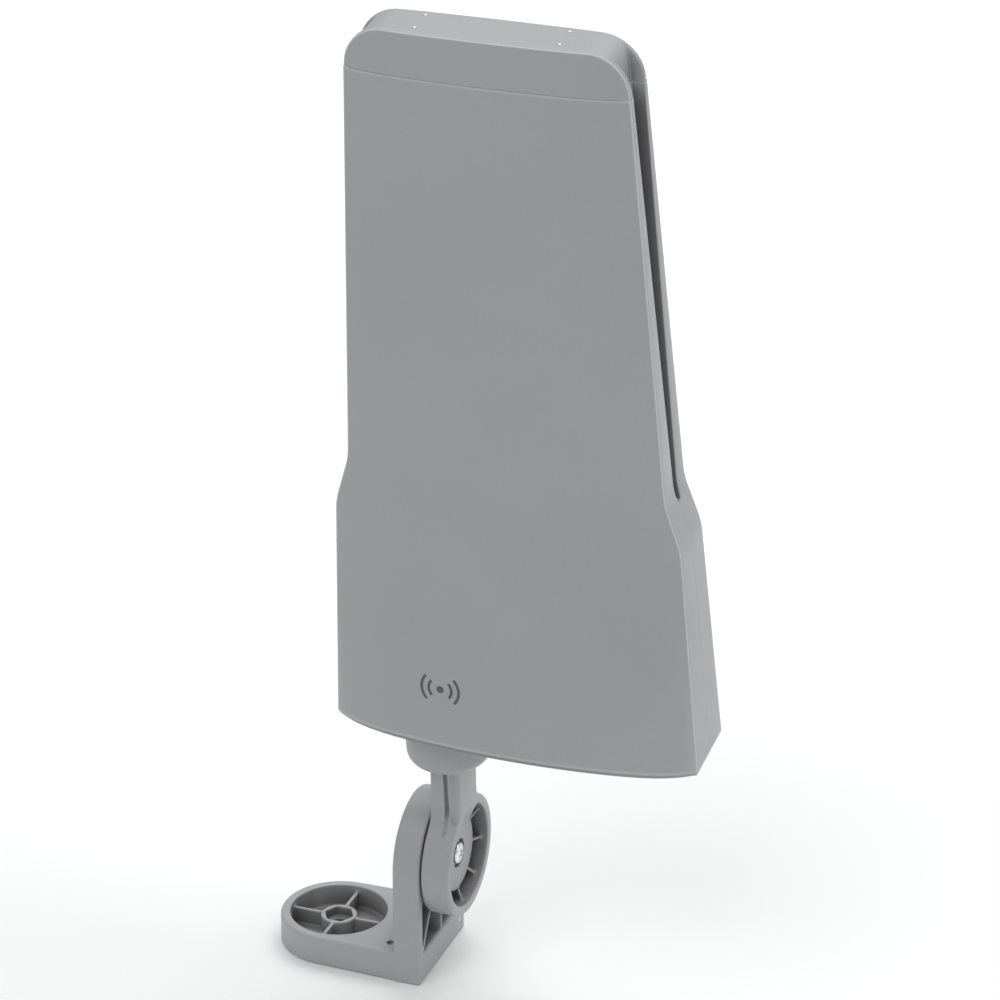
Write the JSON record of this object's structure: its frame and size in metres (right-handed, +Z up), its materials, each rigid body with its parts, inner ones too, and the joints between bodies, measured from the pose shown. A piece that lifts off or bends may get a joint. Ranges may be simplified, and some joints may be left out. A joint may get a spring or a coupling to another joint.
{
  "type": "outdoor panel antenna",
  "caption": "Outdoor flat-panel television antenna: tapered housing with side grooves on a neck that tilts on a ribbed disc joint above an L-shaped foot.",
  "frame": {"origin": "on the flat underside of the foot, below the middle of the upright plate", "axes": "+Z up along the upright plate, -Y towards the receiving face, +X from the foot's round end towards the arm"},
  "size_m": [0.1834, 0.0855, 0.4137],
  "materials": {
    "housing_plastic": "fine moulded grain, satin",
    "bracket_plastic": "smooth moulded, satin",
    "pin_plastic": "smooth",
    "carrier_plastic": "moulded",
    "screw_steel": "zinc plated",
    "nickel": "nickel plated",
    "element_aluminium": "rolled sheet",
    "element_brass": "rolled sheet",
    "board": "solder resist",
    "seal_rubber": "matt",
    "cable_jacket": "satin jacket"
  },
  "bodies": {
    "bracket": {"foot_bracket": "bracket_plastic", "tilt_nut": "screw_steel", "tilt_screw": "screw_steel", "tilt_washer": "screw_steel"},
    "arm": {"elbow_arm": "bracket_plastic", "swivel_screw": "screw_steel", "swivel_washer": "screw_steel"},
    "antenna": {"amplifier_pcb": "board", "bottom_plate": "housing_plastic", "bottom_seal": "seal_rubber", "cap_pin_1": "pin_plastic", "cap_pin_2": "pin_plastic", "cap_pin_3": "pin_plastic", "cap_pin_4": "pin_plastic", "coax_pigtail": "cable_jacket", "collar": "bracket_plastic", "collar_screw_1": "screw_steel", "collar_screw_2": "screw_steel", "connector_nut": "nickel", "connector_washer": "seal_rubber", "director_1": "element_aluminium", "director_2": "element_aluminium", "director_3": "element_aluminium", "director_carrier": "carrier_plastic", "driven_element": "element_brass", "element_screw_1": "screw_steel", "element_screw_2": "screw_steel", "element_screw_3": "screw_steel", "element_screw_4": "screw_steel", "element_spacer_1": "carrier_plastic", "element_spacer_2": "carrier_plastic", "element_spacer_3": "carrier_plastic", "element_spacer_4": "carrier_plastic", "f_connector": "nickel", "feed_line": "cable_jacket", "front_shell": "housing_plastic", "pcb_screw_1": "screw_steel", "pcb_screw_2": "screw_steel", "pcb_screw_3": "screw_steel", "pcb_screw_4": "screw_steel", "rear_shell": "housing_plastic", "reflector_plate": "element_aluminium", "shell_screw_1": "screw_steel", "shell_screw_2": "screw_steel", "shell_screw_3": "screw_steel", "shell_screw_4": "screw_steel", "shell_screw_5": "screw_steel", "shell_screw_6": "screw_steel", "shell_screw_7": "screw_steel", "shell_screw_8": "screw_steel", "shield_can": "nickel", "top_cap": "housing_plastic"}
  },
  "joints": [
    {"name": "tilt", "type": "hinge", "parent": "bracket", "child": "arm", "pos_m": [0, 0, 0.0494], "axis": [1, 0, 0], "range_deg": [-97.76, 82.24]},
    {"name": "swivel", "type": "hinge", "parent": "arm", "child": "antenna", "pos_m": [0.01225, 0, 0.0494], "axis": [0, -0.135, 0.9908], "range_deg": [-90, 90]}
  ]
}
